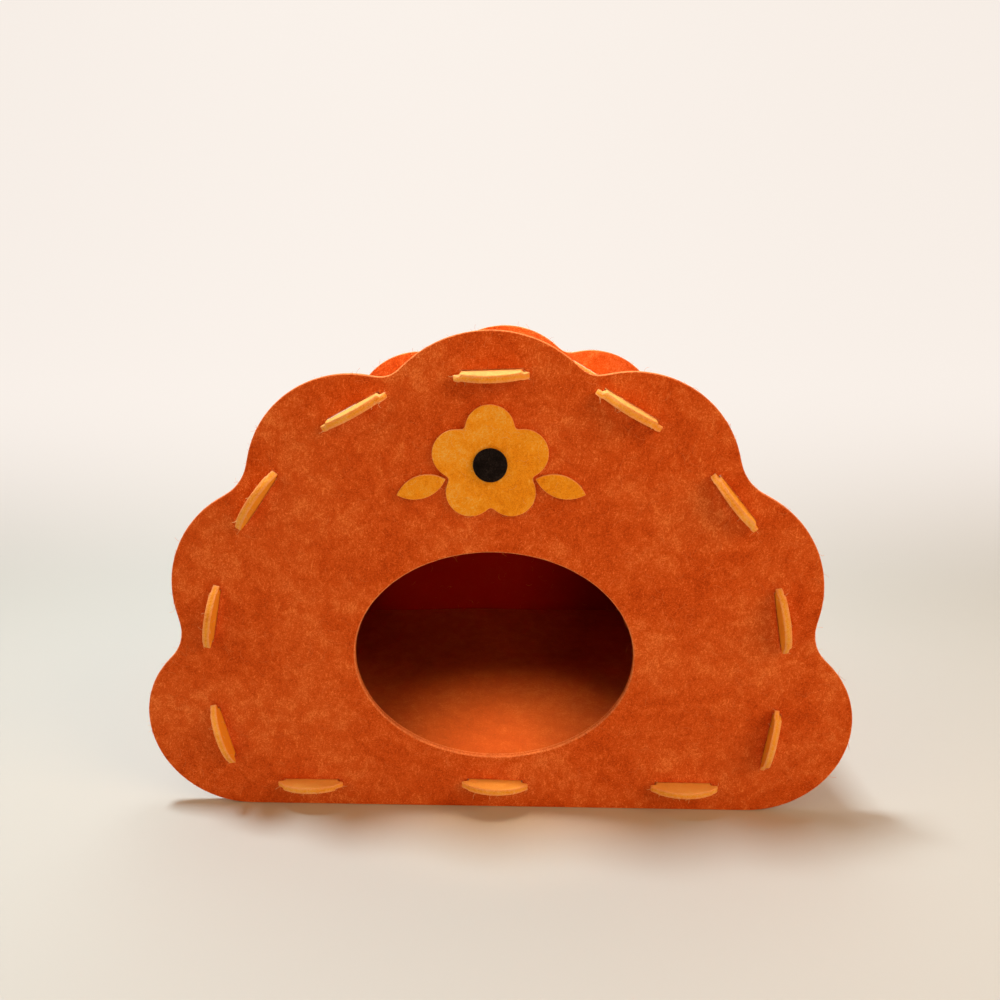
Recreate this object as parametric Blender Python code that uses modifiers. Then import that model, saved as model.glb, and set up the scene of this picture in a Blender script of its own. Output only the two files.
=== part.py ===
# A flat-pack cave of thick needle-punched felt. Two scalloped panels stand upright, a felt
# band runs round between them as walls and floor, and T-headed tabs lock through slits.
# Metres, +Z up. The mouth faces -Y, and the origin is on the ground under the middle.
import math

import bmesh
import bpy
from mathutils import Matrix, Vector

# Sizes shared by the pieces
FELT = 0.006  # thickness of the panels, the band and the tabs
GAP = 0.0003  # clearance between pieces that touch
DEPTH = 0.365  # over the outer faces of the two panels
ARC_STEP = math.radians(5)  # turn of an arc between two of its points

# Outline of a panel: lobes of its right-hand side, from the crown down to the foot
LOBES = (
    # centre x, centre z, radius
    (0.0, 0.3120, 0.0970),
    (0.1070, 0.2915, 0.0865),
    (0.1710, 0.1990, 0.0938),
    (0.2185, 0.0815, 0.0815),
)
NOTCHES = (0.0180, 0.0385, 0.0350)  # radius of the hollow between one lobe and the next

# Mouth in the front panel, an ellipse
MOUTH_CENTRE_Z = 0.143
MOUTH_HALF_WIDTH = 0.116
MOUTH_HALF_HEIGHT = 0.093
MOUTH_STEPS = 72

# Where each tab goes through a panel, in the order in which the band runs past them
TABS = (
    # name, x, z, heading of the band in degrees, bend of the head in degrees (+ is inward)
    ("floor_left", -0.1617, 0.0216, 0.2, 8.0),
    ("floor_middle", 0.0000, 0.0238, -1.3, 3.0),
    ("floor_right", 0.1629, 0.0234, 0.0, 2.0),
    ("flank_right", 0.2338, 0.0713, 82.5, 15.0),
    ("side_right", 0.2330, 0.1800, 100.8, 0.0),
    ("shoulder_right", 0.1887, 0.2787, 129.4, 17.0),
    ("upper_right", 0.1053, 0.3506, 149.1, 10.0),
    ("crown", 0.0016, 0.3766, 181.2, 14.0),
    ("upper_left", -0.1038, 0.3505, 207.4, 12.0),
    ("shoulder_left", -0.1851, 0.2798, 233.4, -7.0),
    ("side_left", -0.2322, 0.1809, 256.1, 4.0),
    ("flank_left", -0.2350, 0.0712, 281.5, 9.0),
)

# Shape of a tab, laid flat
HEAD_WIDTH = 0.0585
NECK_WIDTH = 0.046
HEAD_CLEAR = 0.002  # from the panel's face to the back edge of the head
HEAD_END = 0.004  # from the face to where the head's front arc starts
HEAD_REACH = 0.0140  # from the face to the top of the arc
LEG_LENGTH = 0.026  # behind the panel, flat on the outside of the band
LEG_CORNER = 0.005
SLIT_SLACK = 0.0015  # each end of a slit past the neck, open beside it

# Band
BAND_PATH_STEPS = 8  # cross-sections between two points of the path
BAND_HANDLE = 0.38  # length of a curve handle, as a share of the stretch it bends
BUTT_GAP = 0.0006  # between the two cut ends of the band, by the right end of the floor
BUTT_PAST_TAB = 0.004

# Felt flower with two leaves, fixed flat on the front panel over the mouth
MOTIF_FELT = 0.003
CENTRE_FELT = 0.002
FLOWER_Z = 0.3080
PETALS = 5
PETAL_RADIUS = 0.0192
PETAL_DISTANCE = 0.0272  # from the middle of the flower to the middle of a petal
PETAL_NOTCH = 0.0015
CENTRE_RADIUS = 0.0135
LEAF_LENGTH = 0.041
LEAF_WIDTH = 0.0185
LEAF_START = 0.0365  # from the middle of the flower to the near tip of a leaf
LEAF_FALL = math.radians(18)

ORANGE = (0.565, 0.075, 0.007)
YELLOW = (0.780, 0.225, 0.014)
BLACK = (0.010, 0.008, 0.008)


def clear_scene():
    for old in list(bpy.data.objects):
        bpy.data.objects.remove(old, do_unlink=True)


def felt_material(name, colour):
    material = bpy.data.materials.new(name)
    material.use_nodes = True
    shader = material.node_tree.nodes["Principled BSDF"]
    shader.inputs["Base Color"].default_value = (*colour, 1.0)
    shader.inputs["Roughness"].default_value = 0.95
    shader.inputs["Metallic"].default_value = 0.0
    return material


# Flat outlines, as lists of 2D points

def arc(centre, radius, start, turn):
    """Points from the angle start through the angle turn, both ends included."""
    steps = max(2, math.ceil(abs(turn) / ARC_STEP))
    angles = [start + turn * i / steps for i in range(steps + 1)]
    return [centre + radius * Vector((math.cos(a), math.sin(a))) for a in angles]


def bearing(origin, target):
    return math.atan2(target.y - origin.y, target.x - origin.x)


def hollow_centre(lobe, following, radius):
    """Centre of the round hollow that touches two neighbouring lobes from outside."""
    (a, radius_a), (b, radius_b) = lobe, following
    reach_a = radius_a + radius
    reach_b = radius_b + radius
    line = b - a
    along = (reach_a**2 - reach_b**2 + line.length_squared) / (2 * line.length)
    aside = math.sqrt(reach_a**2 - along**2)
    direction = line.normalized()
    outward = Vector((-direction.y, direction.x))
    return a + along * direction + aside * outward


def scallops(lobes, notches, start, end):
    """Lobes that run clockwise, with a round hollow after each one but the last."""
    points = []
    angle = start
    for i, (centre, radius) in enumerate(lobes):
        last = i == len(lobes) - 1
        hollow = None if last else hollow_centre(lobes[i], lobes[i + 1], notches[i])
        leave = end if last else bearing(centre, hollow)
        points += arc(centre, radius, angle, -((angle - leave) % math.tau))
        if not last:
            following = lobes[i + 1][0]
            arrive = bearing(hollow, centre)
            turn = (bearing(hollow, following) - arrive) % math.tau
            points += arc(hollow, notches[i], arrive, turn)[1:-1]
            angle = bearing(following, hollow)
    return points


def panel_outline():
    lobes = [(Vector((x, z)), radius) for x, z, radius in LOBES]
    right = scallops(lobes, NOTCHES, math.pi / 2, -math.pi / 2)
    left = [Vector((-p.x, p.y)) for p in reversed(right[1:])]
    return right + left


def ellipse(centre, half_width, half_height, steps):
    angles = [math.tau * i / steps for i in range(steps)]
    return [centre + Vector((half_width * math.cos(a), half_height * math.sin(a))) for a in angles]


def slit_outline(x, z, heading):
    half_length = NECK_WIDTH / 2 + SLIT_SLACK
    half_width = FELT / 2 + GAP
    turn = Matrix.Rotation(heading, 2)
    corners = ((-1, -1), (1, -1), (1, 1), (-1, 1))
    return [Vector((x, z)) + turn @ Vector((half_length * u, half_width * v)) for u, v in corners]


def tab_outline():
    """A tab laid flat: x across it, y outward from the panel's face, leg first."""
    neck = NECK_WIDTH / 2
    head = HEAD_WIDTH / 2
    leg_end = -FELT - LEG_LENGTH
    rise = HEAD_REACH - HEAD_END
    head_radius = (head**2 + rise**2) / (2 * rise)
    half_turn = math.asin(head / head_radius)
    corner = Vector((neck - LEG_CORNER, leg_end + LEG_CORNER))
    right = arc(corner, LEG_CORNER, -math.pi / 2, math.pi / 2)
    right += [Vector((neck, HEAD_CLEAR)), Vector((head, HEAD_CLEAR))]
    front_centre = Vector((0.0, HEAD_REACH - head_radius))
    right += arc(front_centre, head_radius, math.pi / 2 - half_turn, half_turn)
    left = [Vector((-p.x, p.y)) for p in reversed(right[:-1])]
    return right + left


def flower_outline():
    """Petals round a circle, the first and last half petal meeting at the top."""
    turns = [math.pi / 2 - math.tau * i / PETALS for i in range(PETALS + 1)]
    lobes = [(PETAL_DISTANCE * Vector((math.cos(a), math.sin(a))), PETAL_RADIUS) for a in turns]
    return scallops(lobes, [PETAL_NOTCH] * PETALS, math.pi / 2, math.pi / 2)[:-1]


def leaf_outline():
    """Two arcs that meet in a point at each end, with the near tip at the origin."""
    radius = (LEAF_LENGTH**2 + LEAF_WIDTH**2) / (4 * LEAF_WIDTH)
    half_turn = math.asin(LEAF_LENGTH / 2 / radius)
    middle = Vector((LEAF_LENGTH / 2, LEAF_WIDTH / 2 - radius))
    upper = arc(middle, radius, math.pi / 2 - half_turn, 2 * half_turn)
    lower = [Vector((p.x, -p.y)) for p in reversed(upper[1:-1])]
    return upper + lower


# Solids

def cut_felt(name, outlines, thickness, material, collection):
    """Felt cut to the first outline, with the others as holes. It lies in local XY."""
    curve = bpy.data.curves.new(name, "CURVE")
    curve.dimensions = "2D"
    curve.fill_mode = "BOTH"
    curve.extrude = thickness / 2
    for outline in outlines:
        spline = curve.splines.new("POLY")
        spline.points.add(len(outline) - 1)
        for point, place in zip(spline.points, outline):
            point.co = (place.x, place.y, 0.0, 1.0)
        spline.use_cyclic_u = True
    return curve_to_mesh(name, curve, material, collection)


def curve_to_mesh(name, curve, material, collection):
    drawn = bpy.data.objects.new(name + "_curve", curve)
    collection.objects.link(drawn)
    evaluated = drawn.evaluated_get(bpy.context.evaluated_depsgraph_get())
    mesh = bpy.data.meshes.new_from_object(evaluated)
    bpy.data.objects.remove(drawn, do_unlink=True)
    bpy.data.curves.remove(curve)
    welded = bmesh.new()
    welded.from_mesh(mesh)
    bmesh.ops.remove_doubles(welded, verts=welded.verts, dist=0.00001)
    welded.to_mesh(mesh)
    welded.free()
    mesh.name = name
    mesh.materials.clear()
    mesh.materials.append(material)
    piece = bpy.data.objects.new(name, mesh)
    collection.objects.link(piece)
    return piece


def stand_up(piece, y):
    """Turn a flat piece upright, facing -Y, with the middle of its felt at y."""
    piece.rotation_euler = (math.pi / 2, 0.0, 0.0)
    piece.location.y = y


def make_panels(felt, collection):
    slits = [slit_outline(x, z, math.radians(heading)) for _, x, z, heading, _ in TABS]
    middle = Vector((0.0, MOUTH_CENTRE_Z))
    mouth = ellipse(middle, MOUTH_HALF_WIDTH, MOUTH_HALF_HEIGHT, MOUTH_STEPS)
    y = (DEPTH - FELT) / 2
    front = cut_felt("front_panel", [panel_outline(), mouth, *slits], FELT, felt, collection)
    stand_up(front, -y)
    back = cut_felt("back_panel", [panel_outline(), *slits], FELT, felt, collection)
    stand_up(back, y)
    return [front, back]


def band_path():
    """Ends of the straight stretches in which the slits hold the band, as (point, heading)."""
    inset = FELT + GAP
    stretches = []
    for _, x, z, heading, _ in TABS:
        along = Matrix.Rotation(math.radians(heading), 2) @ Vector((1.0, 0.0))
        inward = Vector((-along.y, along.x))
        middle = Vector((x, z)) + inset * inward
        stretches.append((middle - along * NECK_WIDTH / 2, along))
        stretches.append((middle + along * NECK_WIDTH / 2, along))
    # the cut ends of the band meet just past the floor's last tab
    floor_ends = 2 * sum(name.startswith("floor") for name, *_ in TABS)
    floor_end, along = stretches[floor_ends - 1]
    butt = floor_end + BUTT_PAST_TAB * along
    first = (butt + BUTT_GAP / 2 * along, along)
    last = (butt - BUTT_GAP / 2 * along, along)
    return [first, *stretches[floor_ends:], *stretches[:floor_ends - 1], last]


def make_band(felt, collection):
    path = band_path()
    curve = bpy.data.curves.new("wall_band", "CURVE")
    curve.dimensions = "2D"
    curve.fill_mode = "NONE"
    curve.resolution_u = BAND_PATH_STEPS
    curve.extrude = DEPTH / 2 - FELT - GAP
    spline = curve.splines.new("BEZIER")
    spline.bezier_points.add(len(path) - 1)
    for i, (place, along) in enumerate(path):
        point = spline.bezier_points[i]
        before = path[max(i - 1, 0)][0]
        after = path[min(i + 1, len(path) - 1)][0]
        point.handle_left_type = "FREE"
        point.handle_right_type = "FREE"
        point.co = (*place, 0.0)
        point.handle_left = (*(place - BAND_HANDLE * (place - before).length * along), 0.0)
        point.handle_right = (*(place + BAND_HANDLE * (after - place).length * along), 0.0)
    band = curve_to_mesh("wall_band", curve, felt, collection)
    wall = band.modifiers.new("felt", "SOLIDIFY")
    wall.thickness = FELT
    wall.offset = 0.0
    wall.use_even_offset = True
    stand_up(band, 0.0)
    return band


def bend_head(piece, bend):
    """A head leans toward the inside of the band, from its back edge on."""
    for vertex in piece.data.vertices:
        beyond = max(0.0, vertex.co.y - HEAD_CLEAR)
        vertex.co.z -= math.tan(math.radians(bend)) * beyond


def make_tabs(felt, collection):
    tabs = []
    for side, out in (("front", -1), ("back", 1)):
        for name, x, z, heading, bend in TABS:
            tab = cut_felt(f"tab_{side}_{name}", [tab_outline()], FELT, felt, collection)
            bend_head(tab, bend)
            angle = math.radians(heading)
            outward = Vector((0.0, out, 0.0))
            across = Vector((-out * math.cos(angle), 0.0, -out * math.sin(angle)))
            thick = across.cross(outward)
            turn = Matrix((across, outward, thick)).transposed()
            place = Vector((x, out * DEPTH / 2, z))
            tab.matrix_world = Matrix.LocRotScale(place, turn.to_quaternion(), None)
            tabs.append(tab)
    return tabs


def make_motif(yellow, black, collection):
    face = -DEPTH / 2 - GAP
    middle = Vector((0.0, FLOWER_Z))
    petals = [middle + p for p in flower_outline()]
    flower = cut_felt("motif_flower", [petals], MOTIF_FELT, yellow, collection)
    stand_up(flower, face - MOTIF_FELT / 2)
    disc = arc(middle, CENTRE_RADIUS, 0.0, math.tau)[:-1]
    centre = cut_felt("motif_centre", [disc], CENTRE_FELT, black, collection)
    stand_up(centre, face - MOTIF_FELT - GAP - CENTRE_FELT / 2)
    pieces = [flower, centre]
    for name, side in (("right", 1), ("left", -1)):
        turn = Matrix.Rotation(-LEAF_FALL, 2)
        right_leaf = [turn @ (p + Vector((LEAF_START, 0.0))) for p in leaf_outline()]
        outline = [middle + Vector((side * p.x, p.y)) for p in right_leaf]
        leaf = cut_felt(f"motif_leaf_{name}", [outline], MOTIF_FELT, yellow, collection)
        stand_up(leaf, face - MOTIF_FELT / 2)
        pieces.append(leaf)
    return pieces


def main():
    clear_scene()
    collection = bpy.data.collections.new("felt_cat_cave")
    bpy.context.scene.collection.children.link(collection)
    orange = felt_material("orange_felt", ORANGE)
    yellow = felt_material("yellow_felt", YELLOW)
    black = felt_material("black_felt", BLACK)
    pieces = make_panels(orange, collection)
    pieces.append(make_band(orange, collection))
    pieces += make_tabs(yellow, collection)
    pieces += make_motif(yellow, black, collection)
    ground = bpy.data.objects.new("ground_point", None)
    collection.objects.link(ground)
    for piece in pieces:
        piece.parent = ground


main()
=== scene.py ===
import math

import bmesh
import bpy
import numpy as np
from mathutils import Matrix, Vector, noise
from mathutils.geometry import delaunay_2d_cdt
from mathutils.kdtree import KDTree


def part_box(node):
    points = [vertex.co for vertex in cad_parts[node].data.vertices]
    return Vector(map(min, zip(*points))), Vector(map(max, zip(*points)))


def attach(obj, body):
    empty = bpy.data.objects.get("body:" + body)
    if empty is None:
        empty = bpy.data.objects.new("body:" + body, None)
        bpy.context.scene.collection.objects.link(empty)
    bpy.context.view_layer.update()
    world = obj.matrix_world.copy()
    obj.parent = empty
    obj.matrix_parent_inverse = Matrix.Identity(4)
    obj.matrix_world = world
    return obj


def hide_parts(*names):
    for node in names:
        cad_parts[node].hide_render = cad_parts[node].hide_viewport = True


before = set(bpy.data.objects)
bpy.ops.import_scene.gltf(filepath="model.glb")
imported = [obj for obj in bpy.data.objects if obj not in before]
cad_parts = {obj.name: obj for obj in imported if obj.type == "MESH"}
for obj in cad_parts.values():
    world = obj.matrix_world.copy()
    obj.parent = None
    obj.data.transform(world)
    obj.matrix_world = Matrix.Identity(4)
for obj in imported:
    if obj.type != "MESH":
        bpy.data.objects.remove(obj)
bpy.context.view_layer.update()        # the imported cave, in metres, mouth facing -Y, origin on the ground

# A flat-pack felt cave: every piece is cut from stiff needle-punched felt, and T-headed tabs
# pushed through slits hold the two panels against the band that runs round between them.
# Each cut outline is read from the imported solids, and the felt is built on it.

right, ahead, upward = Vector((1, 0, 0)), Vector((0, -1, 0)), Vector((0, 0, 1))


def hexColour(code):
    # sRGB hex to linear
    channels = [int(code[i:i + 2], 16) / 255 for i in (1, 3, 5)]
    linear = [c / 12.92 if c <= 0.04045 else ((c + 0.055) / 1.055) ** 2.4 for c in channels]
    return (*linear, 1.0)


def addNode(tree, kind, settings=None, inputs=None):
    node = tree.nodes.new(kind)
    for name, value in (settings or {}).items():
        setattr(node, name, value)
    for name, value in (inputs or {}).items():
        if isinstance(value, bpy.types.NodeSocket):
            tree.links.new(value, node.inputs[name])
        else:
            node.inputs[name].default_value = value
    return node


def apart(tree, vector):
    # the three parts of a vector, by X, Y and Z
    return addNode(tree, "ShaderNodeSeparateXYZ", None, {"Vector": vector}).outputs


def addObject(name, data):
    thing = bpy.data.objects.new(name, data)
    bpy.context.scene.collection.objects.link(thing)
    return thing


# felt materials

orangeFelt = {
    "base": "#d1571d",
    "light": "#f08644",  # where the loft is open and fibres catch the light; also the colour of the painted highlight on the inner floor
    "deep": "#a83a0c",
    "edge": "#f9a468",  # fibre ends at a cut
    "inside": "#b80d04",  # painted shade: a deeper red on the faces turned inward, less on the floor
    "cloudSize": 60, "blotchSize": 12, "grainSize": 1.9,  # millimetres
    "strandLength": 7, "strandWidth": 0.9,  # drawn thicker than a fibre, so that they show
    "sheen": 0.08, "sheenRough": 0.5, "sheenTint": "#ff9a5c", "bump": 0.45,
    "paintedTopLight": "#ffb489", "paintedTopLightShare": 0.04,  # painted highlight, pale, on what faces up
}
yellowFelt = {
    "base": "#fba420",
    "light": "#ffca60",
    "deep": "#e07e10",
    "edge": "#ffb07c",
    "inside": "#fba420",
    "cloudSize": 40, "blotchSize": 7, "grainSize": 1.6,
    "strandLength": 5, "strandWidth": 0.8,
    "sheen": 0.16, "sheenRough": 0.5, "sheenTint": "#ffd89a", "bump": 0.70,
    # painted highlight, pale, on what faces up
    "paintedTopLight": "#ffd2a0", "paintedTopLightShare": 0.32,
}
blackFelt = {
    "base": "#131011",
    "light": "#2b2626",
    "deep": "#0a0909",
    "edge": "#2e2a2a",
    "inside": "#131011",
    "cloudSize": 20, "blotchSize": 5, "grainSize": 1.4,
    "strandLength": 4, "strandWidth": 0.7,
    "sheen": 0.10, "sheenRough": 0.5, "sheenTint": "#d8d0cc", "bump": 0.4,
    # painted highlight, pale, on what faces up
    "paintedTopLight": "#6b5f5b", "paintedTopLightShare": 0.10,
}

# what all felts share; a tone runs from about -1, deep, through 0, base, to 1.3, light
feltSurface = {
    # noise detail, distortion, half of the noise's used range, and shift of the tone by a scale
    "mottling": {"cloudSize": (2, 0.0, 0.20, 0.30), "blotchSize": (4, 0.6, 0.22, 0.34),
                 "grainSize": (3, 1.4, 0.20, 0.42)},
    # directions that strands run in, as turns about x, y and z in degrees
    "strandTurns": ((8, 12, 0), (-10, 55, 20), (14, 98, -30), (-6, 142, 50)),
    "strandOffset": (0.37, 0.11, 0.53),  # so that no two directions share a pattern
    "strandRidge": (0.57, 0.74),  # the part of the noise that stands up as a strand
    "strandShift": 0.80,
    "lightTones": (0.10, 1.30), "deepTones": (-0.95, 0.15), "deepest": 0.9,
    # how far a face must turn up to take the painted top highlight, to lose the painted inside shade, and
    # to take the painted floor highlight
    "paintedTopLightFacing": (0.60, 0.95), "floorFacing": (0.60, 0.97), "floorHighlightFacing": (0.80, 0.99),
    "insideWalls": 0.93, "insideFloor": 0.22, "floorHighlight": 0.40,  # shares of the painted inside shade on walls and floor, and of the painted floor highlight
    "cutShares": (0.35, 0.80),  # of the pale cut colour, from coarse to open grain
    "tuftSize": 0.9, "loftSize": 3.2, "relief": 0.0004,
    "noiseRoughness": 0.55,
}


def feltMaterial(name, look):
    # needle-punched wool and polyester felt: matt, softly mottled, with tangled strands lying in
    # every direction, and paler where a blade has cut it and the fibre ends stand open
    surface = feltSurface
    material = bpy.data.materials.new(name)
    material.use_nodes = True
    tree = material.node_tree
    shader = tree.nodes["Principled BSDF"]
    place = addNode(tree, "ShaderNodeTexCoord").outputs["Object"]

    def grain(sizeMm, detail, distortion=0.0, where=place):
        return addNode(tree, "ShaderNodeTexNoise", None, {
            "Vector": where, "Scale": 1000 / sizeMm, "Detail": detail,
            "Roughness": surface["noiseRoughness"], "Distortion": distortion}).outputs["Fac"]

    def spread(value, low, high, toLow=0.0, toHigh=1.0):
        return addNode(tree, "ShaderNodeMapRange", {"interpolation_type": "SMOOTHSTEP"}, {
            "Value": value, "From Min": low, "From Max": high,
            "To Min": toLow, "To Max": toHigh}).outputs["Result"]

    def blend(share, first, second):
        return addNode(tree, "ShaderNodeMix", {"data_type": "RGBA"}, {
            "Factor": share, "A": first, "B": second}).outputs["Result"]

    def maths(name, first, second):
        return addNode(tree, "ShaderNodeMath", {"operation": name},
                       {0: first, 1: second}).outputs[0]

    def mark(name):
        return addNode(tree, "ShaderNodeAttribute", {"attribute_name": name}).outputs["Fac"]

    # strands: noise drawn out along each direction, its ridges alone
    strands = None
    for i, turn in enumerate(surface["strandTurns"]):
        drawn = addNode(tree, "ShaderNodeMapping", {"vector_type": "TEXTURE"}, {
            "Vector": place, "Location": [step * i for step in surface["strandOffset"]],
            "Rotation": [math.radians(t) for t in turn],
            "Scale": (1, 1, look["strandLength"] / look["strandWidth"])}).outputs[0]
        ridge = spread(grain(look["strandWidth"], 1, 0.9, drawn), *surface["strandRidge"])
        strands = ridge if strands is None else maths("MAXIMUM", strands, ridge)
    tone = None
    for size, (detail, distortion, half, shift) in surface["mottling"].items():
        clouded = grain(look[size], detail, distortion)
        patches = spread(clouded, 0.5 - half, 0.5 + half, -shift, shift)
        tone = patches if tone is None else maths("ADD", tone, patches)
    # the last patches are the finest, and show again where the felt is cut
    openGrain = spread(patches, -shift, shift, *surface["cutShares"])
    tone = maths("ADD", tone, maths("MULTIPLY", strands, surface["strandShift"]))
    lighter = spread(tone, *surface["lightTones"])
    deeper = spread(tone, *surface["deepTones"], surface["deepest"], 0.0)
    colour = blend(lighter, hexColour(look["base"]), hexColour(look["light"]))
    colour = blend(deeper, colour, hexColour(look["deep"]))
    inner = mark("innerFace")
    facing = apart(tree, addNode(tree, "ShaderNodeNewGeometry").outputs["Normal"])["Z"]
    # painted highlight: faces that turn up are blended toward a pale colour, as light falling on them would
    # show
    topLightShare = spread(facing, *surface["paintedTopLightFacing"], 0.0, look["paintedTopLightShare"])
    colour = blend(topLightShare, colour, hexColour(look["paintedTopLight"]))
    # painted shade: inner faces are blended toward the deep red inside colour, almost fully on walls and
    # roof, less on the floor
    inside = spread(facing, *surface["floorFacing"], surface["insideWalls"], surface["insideFloor"])
    colour = blend(maths("MULTIPLY", inner, inside), colour, hexColour(look["inside"]))
    # painted highlight: the inner floor, where it faces up, is blended toward the light colour
    floorHighlight = spread(facing, *surface["floorHighlightFacing"], 0.0, surface["floorHighlight"])
    colour = blend(maths("MULTIPLY", inner, floorHighlight), colour, hexColour(look["light"]))
    colour = blend(maths("MULTIPLY", mark("cutEdge"), openGrain), colour, hexColour(look["edge"]))
    tree.links.new(colour, shader.inputs["Base Color"])

    tufts = grain(surface["tuftSize"], 2, 1.2)
    loft = maths("ADD", maths("ADD", tufts, grain(surface["loftSize"], 3, 0.8)), strands)
    bump = addNode(tree, "ShaderNodeBump", None, {
        "Strength": look["bump"], "Distance": surface["relief"], "Height": loft})
    tree.links.new(bump.outputs["Normal"], shader.inputs["Normal"])
    shader.inputs["Roughness"].default_value = 1.0
    shader.inputs["Specular IOR Level"].default_value = 0.0
    shader.inputs["Sheen Weight"].default_value = look["sheen"]
    shader.inputs["Sheen Roughness"].default_value = look["sheenRough"]
    shader.inputs["Sheen Tint"].default_value = hexColour(look["sheenTint"])
    return material


looseFibre = {
    "orange": "#ee8a4a", "yellow": "#ffd593",
    "shadeSize": 6,  # millimetres along which one fibre changes shade
    "darkest": 0.75,  # share of its colour
    "gloss": 0.03,
}


def looseFibreMaterial(name, code):
    # single polyester fibres, half matt and pale where they leave the felt
    material = bpy.data.materials.new(name)
    material.use_nodes = True
    tree = material.node_tree
    shader = tree.nodes["Principled BSDF"]
    place = addNode(tree, "ShaderNodeTexCoord").outputs["Object"]
    shade = addNode(tree, "ShaderNodeTexNoise", None, {
        "Vector": place, "Scale": 1000 / looseFibre["shadeSize"], "Detail": 1.0}).outputs["Fac"]
    dark = tuple(looseFibre["darkest"] * c for c in hexColour(code)[:3]) + (1.0,)
    colour = addNode(tree, "ShaderNodeMix", {"data_type": "RGBA"}, {
        "Factor": shade, "A": dark, "B": hexColour(code)}).outputs["Result"]
    tree.links.new(colour, shader.inputs["Base Color"])
    shader.inputs["Roughness"].default_value = 1.0
    shader.inputs["Specular IOR Level"].default_value = looseFibre["gloss"]
    return material


felts = {
    "orange_felt": feltMaterial("orangeNeedleFelt", orangeFelt),
    "yellow_felt": feltMaterial("yellowNeedleFelt", yellowFelt),
    "black_felt": feltMaterial("blackNeedleFelt", blackFelt),
}
fibres = {
    "orange_felt": looseFibreMaterial("orangeLooseFibre", looseFibre["orange"]),
    "yellow_felt": looseFibreMaterial("yellowLooseFibre", looseFibre["yellow"]),
}
print("felt materials made")


# cutting felt

cutting = {
    "weld": 0.00001,  # distance within which corners of a solid's triangles are one
    "broadFacing": 0.9,  # least share of a face's normal that points out of the felt
    "smoothing": 4,  # passes that round off the solids' facets
    "roundSteps": 3,  # rows round each arris of a cut edge
    "wobble": 0.00018, "wobbleSize": 0.006,  # a blade's wander along the edge
    "lump": 0.00022, "lumpSize": 0.011,  # dents in a face, never proud of it
    "rimGap": 0.62,  # share of the grid's spacing that is kept free beside a cut
}


def crossed(first, second):
    # cross products of flat vectors, row by row
    return first[:, 0] * second[:, 1] - first[:, 1] * second[:, 0]


def flatArea(loops):
    # outer outlines run counterclockwise and holes clockwise, so that holes are taken off
    return sum(crossed(points, np.roll(points, -1, 0)).sum() / 2 for points in loops)


def cutLoops(nodeName, origin, across, up):
    # outlines of a solid's broad face, flattened, with the felt on the left as they run
    facing = across.cross(up)
    solid = bmesh.new()
    solid.from_mesh(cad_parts[nodeName].data)
    bmesh.ops.remove_doubles(solid, verts=solid.verts, dist=cutting["weld"])
    solid.verts.index_update()
    solid.faces.index_update()
    broad = [face for face in solid.faces if face.normal.dot(facing) > cutting["broadFacing"]]
    broadIndices = {face.index for face in broad}
    # by indices, so that each run starts a loop at the same point
    following, places = {}, {}
    for face in broad:
        for corner in face.loops:
            if sum(other.index in broadIndices for other in corner.edge.link_faces) == 1:
                place = corner.vert.co - origin
                following[corner.vert.index] = corner.link_loop_next.vert.index
                places[corner.vert.index] = (place.dot(across), place.dot(up))
    loops = []
    while following:
        first = min(following)
        loop, after = [first], following.pop(first)
        while after != first:
            loop.append(after)
            after = following.pop(after)
        loops.append(np.array([places[i] for i in loop]))
    solid.free()
    return loops


def evenLoop(points, spacing, cornerTurn):
    # the same loop with evenly spaced points between its corners, and its facets rounded off
    before = points - np.roll(points, 1, 0)
    after = np.roll(points, -1, 0) - points
    turn = np.arctan2(crossed(before, after), (before * after).sum(1))
    corners = np.flatnonzero(np.abs(turn) > math.radians(cornerTurn))
    starts = list(corners) if len(corners) else [0]
    spaced, pinned = [], []
    for start, end in zip(starts, starts[1:] + [starts[0] + len(points)]):
        stretch = points[np.arange(start, end + 1) % len(points)]
        along = np.r_[0, np.cumsum(np.hypot(*np.diff(stretch, axis=0).T))]
        count = max(1, round(along[-1] / spacing))
        places = along[-1] * np.arange(count) / count
        spaced.append(np.column_stack([np.interp(places, along, side) for side in stretch.T]))
        pinned += [len(corners) > 0] + [False] * (count - 1)
    spaced, pinned = np.vstack(spaced), np.array(pinned)[:, None]
    for _ in range(cutting["smoothing"]):
        middle = spaced / 2 + (np.roll(spaced, 1, 0) + np.roll(spaced, -1, 0)) / 4
        spaced = np.where(pinned, spaced, middle)
    return spaced


def outwardMitres(points):
    # away from the felt at each point of a loop, lengthened at corners so an inset stays even
    step = np.roll(points, -1, 0) - points
    step /= np.hypot(*step.T)[:, None]
    normal = np.c_[step[:, 1], -step[:, 0]]
    previous = np.roll(normal, 1, 0)
    return (normal + previous) / (1 + (normal * previous).sum(1))[:, None]


def insideLoops(points, loops):
    # by the number of outlines crossed on the way out to the left
    inside = np.zeros(len(points), bool)
    for loop in loops:
        for (x1, y1), (x2, y2) in zip(loop, np.roll(loop, -1, 0)):
            if y1 != y2:
                level = (points[:, 1] < y1) != (points[:, 1] < y2)
                crossing = x1 + (x2 - x1) * (points[:, 1] - y1) / (y2 - y1)
                inside ^= level & (points[:, 0] > crossing)
    return inside


def edgeProfile(cut):
    # from face to face round a cut: inset from the cut, height, and share of the pale cut colour
    half, arris = cut["felt"] / 2, cut["edgeRound"]
    profile = [(arris + cut["apron"], half, 0.0)]
    for i in range(cutting["roundSteps"] + 1):
        angle = math.pi / 2 * i / cutting["roundSteps"]
        inset = arris * (1 - math.sin(angle))
        height = half - arris * (1 - math.cos(angle))
        profile.append((inset, height, math.sin(angle) ** 0.5))
    mirrored = [(inset, -height, pale) for inset, height, pale in reversed(profile)]
    return profile + [(0.0, 0.0, cut["cutPale"])] + mirrored


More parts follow.
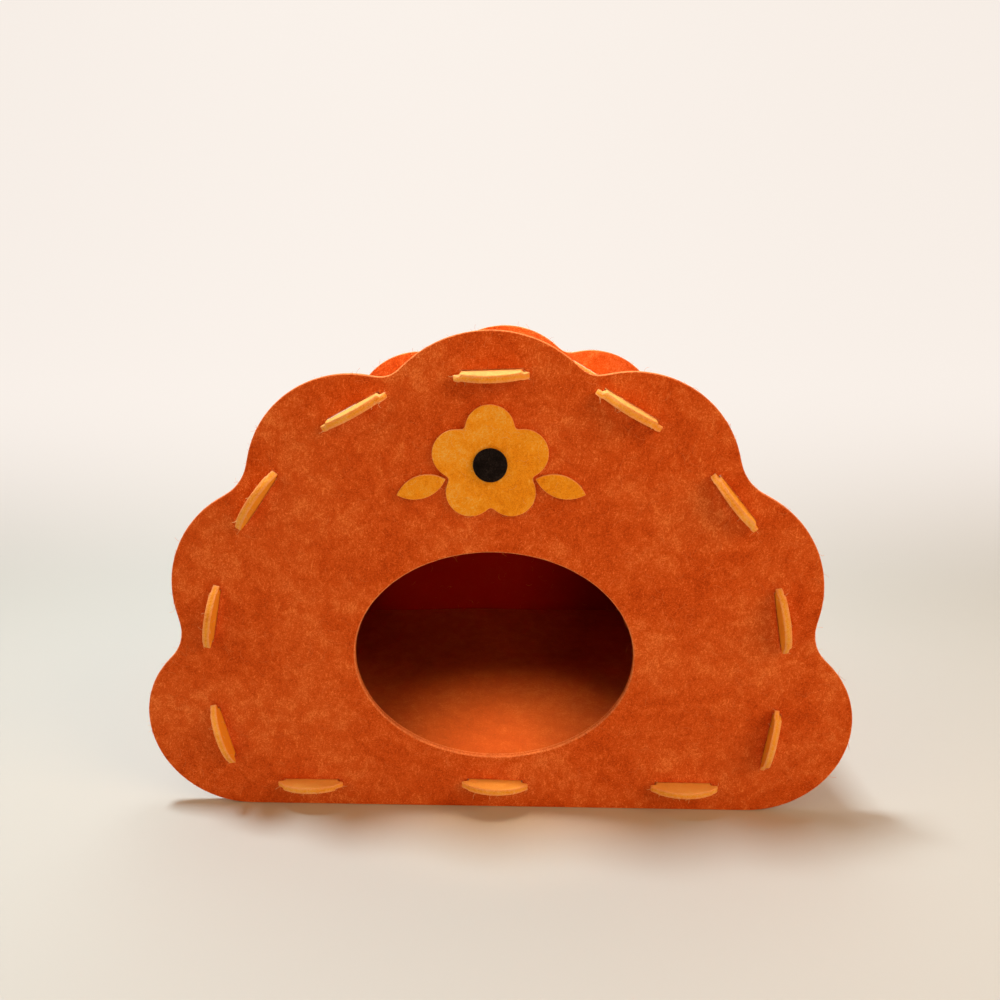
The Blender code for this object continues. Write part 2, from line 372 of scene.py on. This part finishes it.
def triangulated(rings, grid):
    # the flat felt between the rings: its points, its triangles, and which point each of the
    # rings' own points has become
    rim = np.vstack(rings)
    tree = KDTree(len(rim))
    for i, (x, y) in enumerate(rim):
        tree.insert((x, y, 0), i)
    tree.balance()
    low, high = rim.min(0), rim.max(0)
    inner = []
    for j, y in enumerate(np.arange(low[1], high[1], grid * math.sqrt(3) / 2)):
        inner += [(x + grid / 2 * (j % 2), y) for x in np.arange(low[0], high[0], grid)]
    inner = [p for p in inner if tree.find((*p, 0))[2] > cutting["rimGap"] * grid]
    edges, first = [], 0
    for ring in rings:
        count = len(ring)
        edges += [(first + i, first + (i + 1) % count) for i in range(count)]
        first += count
    insideOnly, tolerance = 1, 1e-7
    flat, _, faces, sources, _, _ = delaunay_2d_cdt(
        [Vector(p) for p in list(rim) + inner], edges, [], insideOnly, tolerance)
    ofRim = {source: i for i, found in enumerate(sources)
             for source in found if source < len(rim)}
    plan = np.array([tuple(p) for p in flat])
    kept = insideLoops(plan[np.array(faces)].mean(1), rings)
    faces = [face for face, keep in zip(faces, kept) if keep]
    used = np.unique(np.array(faces))
    renumber = dict(zip(used.tolist(), range(len(used))))
    faces = [[renumber[i] for i in face] for face in faces]
    return plan[used], faces, {source: renumber[i] for source, i in ofRim.items()}


def roughen(spots, mitreOf, level, cut):
    # dents in the faces and the blade's wander along the edge
    half = cut["felt"] / 2
    for i, (x, y, height) in enumerate(spots):
        side = math.copysign(1, height)
        dent = noise.noise(Vector((x, y, side * cut["seed"])) / cutting["lumpSize"])
        wander = noise.noise(Vector((x, y, height / 2 + cut["seed"])) / cutting["wobbleSize"])
        # the rim stays level, as its long thin triangles would shade a dent as a dark spot
        if level[i]:
            dent = 0
        spots[i, 2] -= side * cutting["lump"] * (0.5 + 0.5 * dent) * min(1, abs(height) / half)
        spots[i, :2] -= mitreOf[i] * cutting["wobble"] * (0.5 + 0.5 * wander)


def feltSheet(name, loops, cut, lay):
    # felt cut to the loops, in flat sizes, then laid in its place by lay(along, up, out);
    # returns its mesh and its flat area
    loops = [evenLoop(loop, cut["edgeSpacing"], cut["cornerTurn"]) for loop in loops]
    mitres = [outwardMitres(loop) for loop in loops]
    profile = edgeProfile(cut)
    # one triangulation between the innermost rings serves both faces
    rings = [loop - mitre * profile[0][0] for loop, mitre in zip(loops, mitres)]
    plan, flatFaces, ofRim = triangulated(rings, cut["gridSpacing"])
    count, half = len(plan), cut["felt"] / 2
    spots = [np.c_[plan, np.full(count, half)], np.c_[plan, np.full(count, -half)]]
    faces = [list(f) for f in flatFaces] + [[i + count for i in reversed(f)] for f in flatFaces]
    cutEdge = [np.zeros(2 * count)]
    enclosed = insideLoops(plan, [cut["within"]]) if "within" in cut else np.ones(count)
    innerFace = [np.zeros(count), enclosed.astype(float)]

    # the cut edge, from the ring on one face round to the ring on the other
    total, first = 2 * count, 0
    mitreOf = [np.zeros((total, 2))]
    for loop, mitre in zip(loops, mitres):
        size = len(loop)
        bands = [[ofRim[first + i] for i in range(size)]]
        for inset, height, pale in profile[1:-1]:
            bands.append([total + i for i in range(size)])
            spots.append(np.c_[loop - mitre * inset, np.full(size, height)])
            cutEdge.append(np.full(size, pale))
            innerFace.append(np.zeros(size))
            mitreOf.append(mitre)
            total += size
        bands.append([i + count for i in bands[0]])
        first += size
        for upper, lower in zip(bands, bands[1:]):
            for i in range(size):
                after = (i + 1) % size
                faces.append([upper[i], lower[i], lower[after], upper[after]])
    spots = np.vstack(spots)
    level = np.arange(total) >= 2 * count
    for i in ofRim.values():
        level[[i, i + count]] = True
    roughen(spots, np.vstack(mitreOf), level, cut)

    mesh = bpy.data.meshes.new(name)
    mesh.from_pydata(lay(spots[:, 0], spots[:, 1], spots[:, 2]).tolist(), [], faces)
    for mark, shares in (("cutEdge", cutEdge), ("innerFace", innerFace)):
        values = np.concatenate(shares).astype(np.float32)
        mesh.attributes.new(mark, "FLOAT", "POINT").data.foreach_set("value", values)
    mesh.shade_smooth()
    mesh.update()
    return mesh, flatArea(loops)


def layFlat(origin, across, up):
    # upright or level, without a bend
    frameRows = np.array([across, up, across.cross(up)])
    return lambda along, height, out: np.array(origin) + np.c_[along, height, out] @ frameRows


flatOnTable = layFlat((0, 0, 0), right, Vector((0, 1, 0)))


def addPiece(name, mesh, slot, *nodes):
    mesh.materials.clear()
    mesh.materials.append(felts[slot])
    piece = addObject(name, mesh)
    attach(piece, "root")
    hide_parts(*nodes)
    return piece


# geometry trees


def setInputs(modifier, values):
    for item in modifier.node_group.interface.items_tree:
        if item.item_type == "SOCKET" and item.in_out == "INPUT" and item.name in values:
            modifier[item.identifier] = values[item.name]


def startTree(name, sockets):
    # an empty geometry tree with named inputs; returns the tree, its inputs and its output
    tree = bpy.data.node_groups.new(name, "GeometryNodeTree")
    tree.is_modifier = True
    tree.interface.new_socket("Geometry", in_out="INPUT", socket_type="NodeSocketGeometry")
    for label, kind in sockets.items():
        tree.interface.new_socket(label, in_out="INPUT", socket_type=kind)
    tree.interface.new_socket("Geometry", in_out="OUTPUT", socket_type="NodeSocketGeometry")
    given = addNode(tree, "NodeGroupInput").outputs
    return tree, given, addNode(tree, "NodeGroupOutput").inputs[0]


def endTree(tree, geometry, material, made):
    # plain geometry with its material set goes to the tree's output
    real = addNode(tree, "GeometryNodeRealizeInstances", None, {"Geometry": geometry}).outputs[0]
    shown = addNode(tree, "GeometryNodeSetMaterial", None, {"Geometry": real, "Material": material})
    tree.links.new(shown.outputs[0], made)


def operation(tree, name, *values, kind="ShaderNodeMath"):
    # a Math or Vector Math node
    return addNode(tree, kind, {"operation": name}, dict(enumerate(values))).outputs[0]


def positionParts(tree):
    return apart(tree, addNode(tree, "GeometryNodeInputPosition").outputs[0])


def relaid(mesh, tree, values):
    # the mesh put through a geometry tree, as a plain mesh; the one given is removed
    blank = addObject(mesh.name, mesh)
    modifier = blank.modifiers.new(tree.name, "NODES")
    modifier.node_group = tree
    setInputs(modifier, values)
    evaluated = blank.evaluated_get(bpy.context.evaluated_depsgraph_get())
    laid = bpy.data.meshes.new_from_object(evaluated)
    laid.name = mesh.name
    bpy.data.objects.remove(blank, do_unlink=True)
    bpy.data.meshes.remove(mesh)
    return laid


# loose fibres

lyingFibres = {  # strands that lie on the faces, caught at both ends
    "Face Density": 7000.0, "Edge Density": 0.0, "Inner Share": 0.25,  # fibres per square metre
    "Length": 0.0065, "Length Spread": 0.5, "Thickness": 0.024,  # share of the length
    "Lean": 86.0, "Lean Spread": 3.0, "Arch": -0.10, "Curl": 0.35, "Seed": 11,
}
standingFibres = {  # ends that stand out of the faces and, closer together, of the cuts
    "Face Density": 1500.0, "Edge Density": 26000.0, "Inner Share": 0.2,
    "Length": 0.0016, "Length Spread": 0.6, "Thickness": 0.055,
    "Lean": 35.0, "Lean Spread": 30.0, "Arch": 0.15, "Curl": 0.25, "Seed": 23,
}
fibreForm = {
    "steps": 4, "sides": 3,
    "taper": 0.65,  # share of the thickness that is lost along a fibre
    "clearance": 0.010,  # height below which none grow, as they would reach into the ground
    "seedStep": 7,  # between the pieces that share one mesh of fibres
}


def fibreTree():
    # scatters bent, tapering fibres over felt; thicker than real ones, so that they show
    sockets = {label: "NodeSocketFloat" for label in lyingFibres}
    sockets.update({"Seed": "NodeSocketInt", "Fibre": "NodeSocketMaterial"})
    tree, given, made = startTree("scatterLooseFibres", sockets)

    def maths(name, *values):
        return operation(tree, name, *values)

    def mark(label):
        return addNode(tree, "GeometryNodeInputNamedAttribute", {"data_type": "FLOAT"},
                       {"Name": label}).outputs["Attribute"]

    def anyBetween(low, high, seed):
        return addNode(tree, "FunctionNodeRandomValue", {"data_type": "FLOAT"}, {
            2: low, 3: high, "Seed": seed}).outputs[1]

    inner = maths("MULTIPLY", mark("innerFace"), maths("SUBTRACT", 1.0, given["Inner Share"]))
    onFaces = maths("MULTIPLY", given["Face Density"], maths("SUBTRACT", 1.0, inner))
    onEdges = maths("MULTIPLY", given["Edge Density"], mark("cutEdge"))
    clear = maths("GREATER_THAN", positionParts(tree)["Z"], fibreForm["clearance"])
    density = maths("MULTIPLY", maths("ADD", onFaces, onEdges), clear)
    scattered = addNode(tree, "GeometryNodeDistributePointsOnFaces", {"distribute_method": "RANDOM"}, {
        "Mesh": given["Geometry"], "Density": density, "Seed": given["Seed"]}).outputs

    # one fibre, a unit long: arched away from the felt and curled along it
    bend = addNode(tree, "ShaderNodeCombineXYZ", None, {
        "X": given["Arch"], "Y": given["Curl"], "Z": 0.5}).outputs[0]
    line = addNode(tree, "GeometryNodeCurveQuadraticBezier", None, {
        "Resolution": fibreForm["steps"], "Start": (0, 0, 0), "Middle": bend,
        "End": (0, 0, 1)}).outputs[0]
    along = addNode(tree, "GeometryNodeSplineParameter").outputs["Factor"]
    taper = maths("SUBTRACT", 1.0, maths("MULTIPLY", along, fibreForm["taper"]))
    line = addNode(tree, "GeometryNodeSetCurveRadius", None, {
        "Curve": line, "Radius": taper}).outputs[0]
    ring = addNode(tree, "GeometryNodeCurvePrimitiveCircle", {"mode": "RADIUS"}, {
        "Resolution": fibreForm["sides"],
        "Radius": maths("MULTIPLY", given["Thickness"], 0.5)}).outputs["Curve"]
    fibre = addNode(tree, "GeometryNodeCurveToMesh", None, {
        "Curve": line, "Profile Curve": ring, "Fill Caps": True}).outputs[0]

    least = maths("SUBTRACT", given["Lean"], given["Lean Spread"])
    most = maths("ADD", given["Lean"], given["Lean Spread"])
    lean = anyBetween(least, most, maths("ADD", given["Seed"], 1))
    spin = anyBetween(0.0, math.tau, maths("ADD", given["Seed"], 2))
    leaning = addNode(tree, "ShaderNodeCombineXYZ", None, {"Y": maths("RADIANS", lean)}).outputs[0]
    turning = addNode(tree, "ShaderNodeCombineXYZ", None, {"Z": spin}).outputs[0]
    turned = scattered["Rotation"]
    for step in (turning, leaning):
        turned = addNode(tree, "FunctionNodeRotateRotation", {"rotation_space": "LOCAL"}, {
            "Rotation": turned, "Rotate By": step}).outputs[0]
    longest = maths("MULTIPLY", given["Length"], maths("ADD", 1.0, given["Length Spread"]))
    shortest = maths("MULTIPLY", given["Length"], maths("SUBTRACT", 1.0, given["Length Spread"]))
    length = anyBetween(shortest, longest, maths("ADD", given["Seed"], 3))
    placed = addNode(tree, "GeometryNodeInstanceOnPoints", None, {
        "Points": scattered["Points"], "Instance": fibre, "Rotation": turned,
        "Scale": length}).outputs[0]
    endTree(tree, placed, given["Fibre"], made)
    return tree


fibreScatter = fibreTree()


def addFibres(name, pieces, slot, **changes):
    # lying and standing fibres for the pieces, as one plain mesh; changes to the fibres' values
    # come under lying, standing or both
    grown = bmesh.new()
    for i, piece in enumerate(pieces):
        for look in (lyingFibres, standingFibres):
            values = {**look, **changes.get("both", {})}
            values.update(changes.get("lying" if look is lyingFibres else "standing", {}))
            values["Seed"] += fibreForm["seedStep"] * i
            values["Fibre"] = fibres[slot]
            mesh = relaid(piece.data.copy(), fibreScatter, values)
            grown.from_mesh(mesh)
            bpy.data.meshes.remove(mesh)
    mesh = bpy.data.meshes.new(name)
    grown.to_mesh(mesh)
    grown.free()
    mesh.shade_smooth()
    mesh.materials.append(fibres[slot])
    fibrePiece = addObject(name, mesh)
    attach(fibrePiece, "root")
    print(name, len(mesh.polygons), "faces")
    return fibrePiece


# panels

panel = {
    "felt": 0.006,
    "cornerTurn": 30,  # in degrees; a sharper turn in an outline stays a corner
    "cutPale": 0.30,  # share of the pale cut colour in the middle of the cut
    "slitLength": 0.0468, "slitWidth": 0.0062,  # closed up round the necks
    "floorSlitLength": 0.0478,  # held open a little by the pull of the floor
    "floorSlitsBelow": 0.03,
    "longestSlit": 1.5,  # slit lengths; a longer outline is the mouth or the panel itself
    "edgeSpacing": 0.0026,
    "gridSpacing": 0.0036,
    "edgeRound": 0.0011,
    "apron": 0.0013,  # level strip between an arris and the triangles of the face
    "seeds": {"front_panel": 0.31, "back_panel": 0.77},
}


def bandMiddle():
    # the middle line of the band's section, from one cut end round to the other
    low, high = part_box("wall_band")
    section = cutLoops("wall_band", Vector((0, low.y, 0)), right, upward)[0]
    # the two ends are the only edges as long as the felt is thick that turn sharply both ways
    sharpTurn, tolerance = 1.0, 0.0005  # radians and metres
    step = np.roll(section, -1, 0) - section
    before = np.roll(step, 1, 0)
    sharp = np.abs(np.arctan2(crossed(before, step), (before * step).sum(1))) > sharpTurn
    thick = np.abs(np.hypot(*step.T) - panel["felt"]) < tolerance
    ends = np.flatnonzero(sharp & np.roll(sharp, -1) & thick)
    section = np.roll(section, -(ends[0] + 1), 0)
    half = len(section) // 2
    line = (section[:half] + section[:half - 1:-1]) / 2
    # counterclockwise, so that the felt's first face is the outer one
    return (line if flatArea([line]) > 0 else line[::-1]), high.y - low.y


middle, bandWidth = bandMiddle()


def closeSlit(loop):
    # springy felt closes round a neck, a little less beside the floor tabs, which pull on it
    centre = loop.mean(0)
    along = np.linalg.svd(loop - centre, full_matrices=False)[2][0]
    aside = np.array((-along[1], along[0]))
    reach = (loop - centre) @ np.c_[along, aside]
    length, width = np.ptp(reach, axis=0)
    if length > panel["slitLength"] * panel["longestSlit"]:
        return loop
    onFloor = centre[1] < panel["floorSlitsBelow"]
    closed = panel["floorSlitLength" if onFloor else "slitLength"]
    return centre + reach * (closed / length, panel["slitWidth"] / width) @ np.array((along, aside))


def makePanel(name, node, out):
    low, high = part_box(node)
    across = right if out == ahead else -right
    origin = Vector((0, (low.y + high.y) / 2, 0))
    loops = [closeSlit(loop) for loop in cutLoops(node, origin, across, upward)]
    # its inner face shows within the band's middle line, here as this panel sees it
    cut = {**panel, "seed": panel["seeds"][node], "within": middle * (across.x, 1)}
    mesh, area = feltSheet(name, loops, cut, layFlat(origin, across, upward))
    piece = addPiece(name, mesh, "orange_felt", node)
    loose = addFibres(name + "Fibres", [piece], "orange_felt")
    print(name, "cut from", round(area, 4), "square metres of felt,", len(mesh.polygons), "faces")


makePanel("frontPanel", "front_panel", ahead)
makePanel("backPanel", "back_panel", -ahead)


# wall band, which is also the floor

band = {
    "felt": 0.006,
    "cornerTurn": 30,
    "cutPale": 0.30,
    "edgeSpacing": 0.0040,
    "gridSpacing": 0.0044,
    "edgeRound": 0.0011,
    "apron": 0.0015,
    "seed": 0.52,
}


def pathCurve(points):
    # upright, in the middle of the cave's depth
    data = bpy.data.curves.new("bandPath", "CURVE")
    data.dimensions = "3D"
    line = data.splines.new("POLY")
    line.points.add(len(points) - 1)
    for spot, (x, z) in zip(line.points, points):
        spot.co = (x, 0, z, 1)
    return addObject("bandPath", data)


def wrapTree():
    # carries flat felt onto a path: x runs along the path, y across it, z out of it
    tree, given, made = startTree("wrapFeltOnPath", {
        "Path": "NodeSocketObject", "Felt": "NodeSocketMaterial"})

    def vectors(name, *values):
        return operation(tree, name, *values, kind="ShaderNodeVectorMath")

    course = addNode(tree, "GeometryNodeObjectInfo", {"transform_space": "RELATIVE"},
                     {"Object": given["Path"]}).outputs["Geometry"]
    flat = positionParts(tree)
    sample = addNode(tree, "GeometryNodeSampleCurve", {"mode": "LENGTH"}, {
        "Curves": course, "Length": flat["X"]}).outputs
    outward = vectors("CROSS_PRODUCT", (0, 1, 0), sample["Tangent"])
    offset = addNode(tree, "ShaderNodeVectorMath", {"operation": "SCALE"}, {
        "Vector": outward, "Scale": flat["Z"]}).outputs[0]
    sideways = operation(tree, "MULTIPLY", flat["Y"], -1.0)
    across = addNode(tree, "ShaderNodeCombineXYZ", None, {"Y": sideways}).outputs[0]
    place = vectors("ADD", vectors("ADD", sample["Position"], across), offset)
    laid = addNode(tree, "GeometryNodeSetPosition", None, {
        "Geometry": given["Geometry"], "Position": place}).outputs[0]
    endTree(tree, laid, given["Felt"], made)
    return tree


bandLength = float(np.hypot(*np.diff(middle, axis=0).T).sum())
halfWidth = bandWidth / 2
bandCut = np.array([(0, -halfWidth), (bandLength, -halfWidth),
                    (bandLength, halfWidth), (0, halfWidth)])
flatBand, _ = feltSheet("wallBand", [bandCut], band, flatOnTable)
bandPath = pathCurve(middle)
wrapped = relaid(flatBand, wrapTree(), {"Path": bandPath, "Felt": felts["orange_felt"]})
bpy.data.objects.remove(bandPath, do_unlink=True)
wallBand = addPiece("wallBand", wrapped, "orange_felt", "wall_band")
bandFibres = addFibres("wallBandFibres", [wallBand], "orange_felt", lying={"Face Density": 4000.0})
print("wallBand", round(bandLength, 3), "m long,", len(wrapped.polygons), "faces")


# locking tabs

tab = {
    "felt": 0.006,
    "cornerTurn": 120,  # scissors have rounded all its corners
    "cutPale": 0.10,
    "edgeSpacing": 0.0013,
    "gridSpacing": 0.0016,
    "edgeRound": 0.0007,
    "apron": 0.0002,
    "seed": 0.13, "seedStep": 0.37,
    "shoulder": 0.002,  # from the panel's face to the back edge of the head
    "halfNeck": 0.0225,
    "dropWidth": 0.0010,  # over which an end starts to hang
    "innerDrop": 0.35,  # share of an end's drop that its inner face takes
    "cabinMiddle": 0.14,  # height of the point that all tabs stand round
}

# how each head stands: lean in degrees, then how far its two ends hang lower, in millimetres
tabStands = {
    "floor_left": (8, 2.2, 1.8),
    "floor_middle": (3, 0.7, 0.3),
    "floor_right": (2, 0.6, 0.6),
    "flank_right": (15, 3.2, 2.8),
    "side_right": (0, 1.8, 1.0),
    "shoulder_right": (17, 1.8, 1.7),
    "upper_right": (10, 1.8, 2.5),
    "crown": (14, 1.6, 2.4),
    "upper_left": (12, 2.2, 1.6),
    "shoulder_left": (-7, 0.6, 0.6),
    "side_left": (4, 0.8, 0.2),
    "flank_left": (9, 0.9, 0.3),
}


def tabFrame(node, out):
    # middle of the slit on the panel's face, and the direction of the slit
    outerFace = abs(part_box("front_panel")[0].y)
    spots = np.array([v.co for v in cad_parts[node].data.vertices])
    leg = spots[spots[:, 1] * out.y < outerFace - panel["felt"]]
    centre = (leg.min(0) + leg.max(0)) / 2
    flat = leg[:, [0, 2]] - centre[[0, 2]]
    direction = np.linalg.svd(flat - flat.mean(0), full_matrices=False)[2][0]
    across = Vector((direction[0], 0, direction[1]))
    origin = Vector((centre[0], out.y * outerFace, centre[2]))
    inward = Vector((0, 0, tab["cabinMiddle"])) - origin
    inward.y = 0
    if across.cross(out).dot(inward) > 0:
        across = -across
    return origin, across


def bendTree():
    # x runs along the slit, y out of the panel and z through the felt, up from the leg's band
    lengths = ("Shoulder", "Half Neck", "Lean", "First Drop", "Last Drop")
    tree, given, made = startTree("bendTabHead", {
        **{label: "NodeSocketFloat" for label in lengths}, "Felt": "NodeSocketMaterial"})
    flat = positionParts(tree)

    def maths(name, *values):
        return operation(tree, name, *values)

    def pastNeck(along):
        hangsFrom = given["Half Neck"]
        return addNode(tree, "ShaderNodeMapRange", {"interpolation_type": "SMOOTHSTEP"}, {
            "Value": along, "From Min": hangsFrom,
            "From Max": maths("ADD", hangsFrom, tab["dropWidth"])}).outputs["Result"]

    beyond = maths("MAXIMUM", maths("SUBTRACT", flat["Y"], given["Shoulder"]), 0.0)
    lean = maths("MULTIPLY", maths("TANGENT", maths("RADIANS", given["Lean"])), beyond)
    # an end hangs by its outer face; the inner one stays almost level with the neck
    outer = addNode(tree, "ShaderNodeMapRange", None, {
        "Value": flat["Z"], "From Min": -tab["felt"] / 2, "From Max": tab["felt"] / 2,
        "To Min": tab["innerDrop"]}).outputs["Result"]
    firstEnd = pastNeck(maths("MULTIPLY", flat["X"], -1.0))
    lastEnd = pastNeck(flat["X"])
    drop = maths("ADD", maths("MULTIPLY", firstEnd, given["First Drop"]),
                 maths("MULTIPLY", lastEnd, given["Last Drop"]))
    fall = maths("MULTIPLY", maths("ADD", lean, maths("MULTIPLY", drop, outer)), -1.0)
    offset = addNode(tree, "ShaderNodeCombineXYZ", None, {"Z": fall}).outputs[0]
    bent = addNode(tree, "GeometryNodeSetPosition", None, {
        "Geometry": given["Geometry"], "Offset": offset}).outputs[0]
    endTree(tree, bent, given["Felt"], made)
    return tree


def makeTab(side, out, name, stand, seed, tree):
    node = "tab_" + side + "_" + name
    origin, across = tabFrame(node, out)
    lean, firstDrop, lastDrop = stand
    loops = cutLoops(node, origin, across, out)
    mesh, area = feltSheet(node, loops, {**tab, "seed": seed}, flatOnTable)
    mesh = relaid(mesh, tree, {
        "Shoulder": tab["shoulder"], "Half Neck": tab["halfNeck"], "Lean": float(lean),
        "First Drop": firstDrop / 1000, "Last Drop": lastDrop / 1000, "Felt": felts["yellow_felt"]})
    turn = Matrix((across, out, across.cross(out))).transposed().to_4x4()
    mesh.transform(Matrix.Translation(origin) @ turn)
    piece = addPiece("lockingTab_" + side + "_" + name, mesh, "yellow_felt", node)
    return piece


tabBend = bendTree()
tabs = []
for side, out in (("front", ahead), ("back", -ahead)):
    for name, stand in tabStands.items():
        seed = tab["seed"] + tab["seedStep"] * len(tabs)
        tabs.append(makeTab(side, out, name, stand, seed, tabBend))
print(len(tabs), "locking tabs,", sum(len(piece.data.polygons) for piece in tabs), "faces")
for side, first in (("front", 0), ("back", len(tabStands))):
    addFibres("tabFibres_" + side, tabs[first:first + len(tabStands)], "yellow_felt",
              lying={"Length": 0.0045}, standing={"Length": 0.0034, "Edge Density": 40000.0})


# felt flower with two leaves

motif = {
    "felt": 0.003,
    "cornerTurn": 30,
    "cutPale": 0.35,
    "edgeSpacing": 0.0014,
    "gridSpacing": 0.0022,
    "edgeRound": 0.0005,
    "apron": 0.0003,  # more than the wobble, or the arris would fold over it
    "seed": 0.9,
}
motifLeaf = {**motif, "seed": 0.4}
motifCentre = {**motif, "felt": 0.002, "gridSpacing": 0.0018}


def makeMotif(name, node, cut, slot):
    low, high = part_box(node)
    origin = Vector((0, (low.y + high.y) / 2, 0))
    loops = cutLoops(node, origin, right, upward)
    mesh, area = feltSheet(name, loops, cut, layFlat(origin, right, upward))
    piece = addPiece(name, mesh, slot, node)
    return piece


flower = makeMotif("motifFlower", "motif_flower", motif, "yellow_felt")
leaves = [makeMotif("motifLeaf_" + side, "motif_leaf_" + side, motifLeaf, "yellow_felt")
          for side in ("left", "right")]
makeMotif("motifCentre", "motif_centre", motifCentre, "black_felt")
addFibres("motifFibres", [flower] + leaves, "yellow_felt",
          lying={"Length": 0.0045}, both={"Inner Share": 0.0})
print("flower, centre and leaves cut")


# stage, lights and camera

studio = {
    "paper": "#b9b7b0", "paperRoughness": 0.9,
    "glow": "#f1e9e2", "glowPaper": "#383634",  # light through the paper, and its own colour there
    "glowStart": 0.22, "glowFull": 1.10,  # distances behind the middle of the cave
    "bendStart": 0.45, "bendRadius": 0.9, "bendSteps": 32, "height": 3.0, "reach": 5.0,
    "world": "#ffd29e", "horizon": 0.30, "zenith": 0.12, "backdrop": 0.95,
}
# area lamps: place, target, width, watts, colour and spread in degrees
lamps = {
    "key": ((-0.60, -0.02, 2.10), (0.0, -0.05, 0.2), 0.30, 50, "#e9f8ff", 180),
    "overhead": ((0.05, 0.10, 1.30), (0.03, 0.10, 0.2), 0.5, 4.0, "#fbfdff", 180),
    "roof": ((0.0, -0.30, 0.95), (0.0, 0.18, 0.37), 0.25, 0.30, "#fffaf4", 50),
    "frontLeft": ((-1.6, -1.1, 1.3), (0.0, -0.18, 0.2), 1.2, 9.5, "#ffcd98", 180),
    "frontRight": ((1.7, -1.1, 1.3), (0.0, -0.18, 0.2), 1.2, 26.0, "#ffcd98", 180),
    "mouth": ((0.3, -1.9, 0.45), (0.05, -0.18, 0.18), 0.5, 0.26, "#ffd2a0", 40),
    "lip": ((0.02, -0.135, 0.285), (0.01, -0.13, 0.02), 0.05, 0.062, "#ffd6aa", 60),
}


def makeStage():
    # a paper sweep: level, bent round and upright, where it is lit through from behind
    reach, radius, steps = studio["reach"], studio["bendRadius"], studio["bendSteps"]
    section = [(-reach, 0.0)]
    for i in range(steps + 1):
        angle = math.pi / 2 * i / steps
        behind, height = radius * math.sin(angle), radius * (1 - math.cos(angle))
        section.append((studio["bendStart"] + behind, height))
    section.append((section[-1][0], studio["height"]))
    spots = [(x, y, z) for y, z in section for x in (-reach, reach)]
    faces = [(2 * i, 2 * i + 1, 2 * i + 3, 2 * i + 2) for i in range(len(section) - 1)]
    mesh = bpy.data.meshes.new("paperSweep")
    mesh.from_pydata(spots, [], faces)
    mesh.shade_smooth()
    paper = bpy.data.materials.new("paleStudioPaper")
    paper.use_nodes = True
    tree = paper.node_tree
    shader = tree.nodes["Principled BSDF"]
    behind = apart(tree, addNode(tree, "ShaderNodeTexCoord").outputs["Object"])["Y"]
    share = addNode(tree, "ShaderNodeMapRange", {"interpolation_type": "SMOOTHSTEP"}, {
        "Value": behind, "From Min": studio["glowStart"],
        "From Max": studio["glowFull"]}).outputs["Result"]
    tone = addNode(tree, "ShaderNodeMix", {"data_type": "RGBA"}, {
        "Factor": share, "A": hexColour(studio["paper"]), "B": hexColour(studio["glowPaper"])})
    tree.links.new(tone.outputs["Result"], shader.inputs["Base Color"])
    tree.links.new(share, shader.inputs["Emission Strength"])
    shader.inputs["Emission Color"].default_value = hexColour(studio["glow"])
    shader.inputs["Roughness"].default_value = studio["paperRoughness"]
    mesh.materials.append(paper)
    sweep = addObject("paperSweep", mesh)


def makeLight(name, place, target, size, power, colour, spread):
    light = bpy.data.lights.new(name, "AREA")
    light.size = size
    light.energy = power
    light.color = hexColour(colour)[:3]
    light.spread = math.radians(spread)
    lamp = addObject(name, light)
    lamp.location = place
    lamp.visible_camera = False
    lamp.rotation_euler = (Vector(target) - Vector(place)).to_track_quat("-Z", "Y").to_euler()


def makeWorld():
    # soft warm light from round about, with a pale backdrop behind
    world = bpy.data.worlds.new("studioWorld")
    world.use_nodes = True
    tree = world.node_tree
    background = tree.nodes["Background"]
    background.inputs["Color"].default_value = hexColour(studio["world"])
    height = apart(tree, addNode(tree, "ShaderNodeTexCoord").outputs["Generated"])["Z"]
    glow = addNode(tree, "ShaderNodeMapRange", None, {
        "Value": height, "To Min": studio["horizon"], "To Max": studio["zenith"]}).outputs["Result"]
    seen = addNode(tree, "ShaderNodeLightPath").outputs["Is Camera Ray"]
    strength = addNode(tree, "ShaderNodeMix", None, {
        "Factor": seen, "A": glow, "B": studio["backdrop"]})
    tree.links.new(strength.outputs["Result"], background.inputs["Strength"])
    bpy.context.scene.world = world


# the photograph's own view, fitted to the panel's outline: 700 pixels of focal length in 1000
view = {
    "place": (0.0279, -0.7115, 0.4166), "lens": 25.2, "sensor": 36, "nearest": 0.01,
    "down": 14.524, "left": 2.255, "roll": -0.595,
}


def makeCamera():
    data = bpy.data.cameras.new("camera")
    data.lens = view["lens"]
    data.sensor_width = view["sensor"]
    data.clip_start = view["nearest"]
    camera = addObject("camera", data)
    turn = Matrix.Rotation(math.radians(view["left"]), 4, "Z")
    turn = turn @ Matrix.Rotation(math.radians(90 - view["down"]), 4, "X")
    turn = turn @ Matrix.Rotation(math.radians(view["roll"]), 4, "Z")
    camera.matrix_world = Matrix.Translation(view["place"]) @ turn
    bpy.context.scene.camera = camera


makeStage()
for name, values in lamps.items():
    makeLight(name, *values)
makeWorld()
makeCamera()
bpy.context.scene.view_settings.view_transform = "Standard"
print("stage, light and camera set")
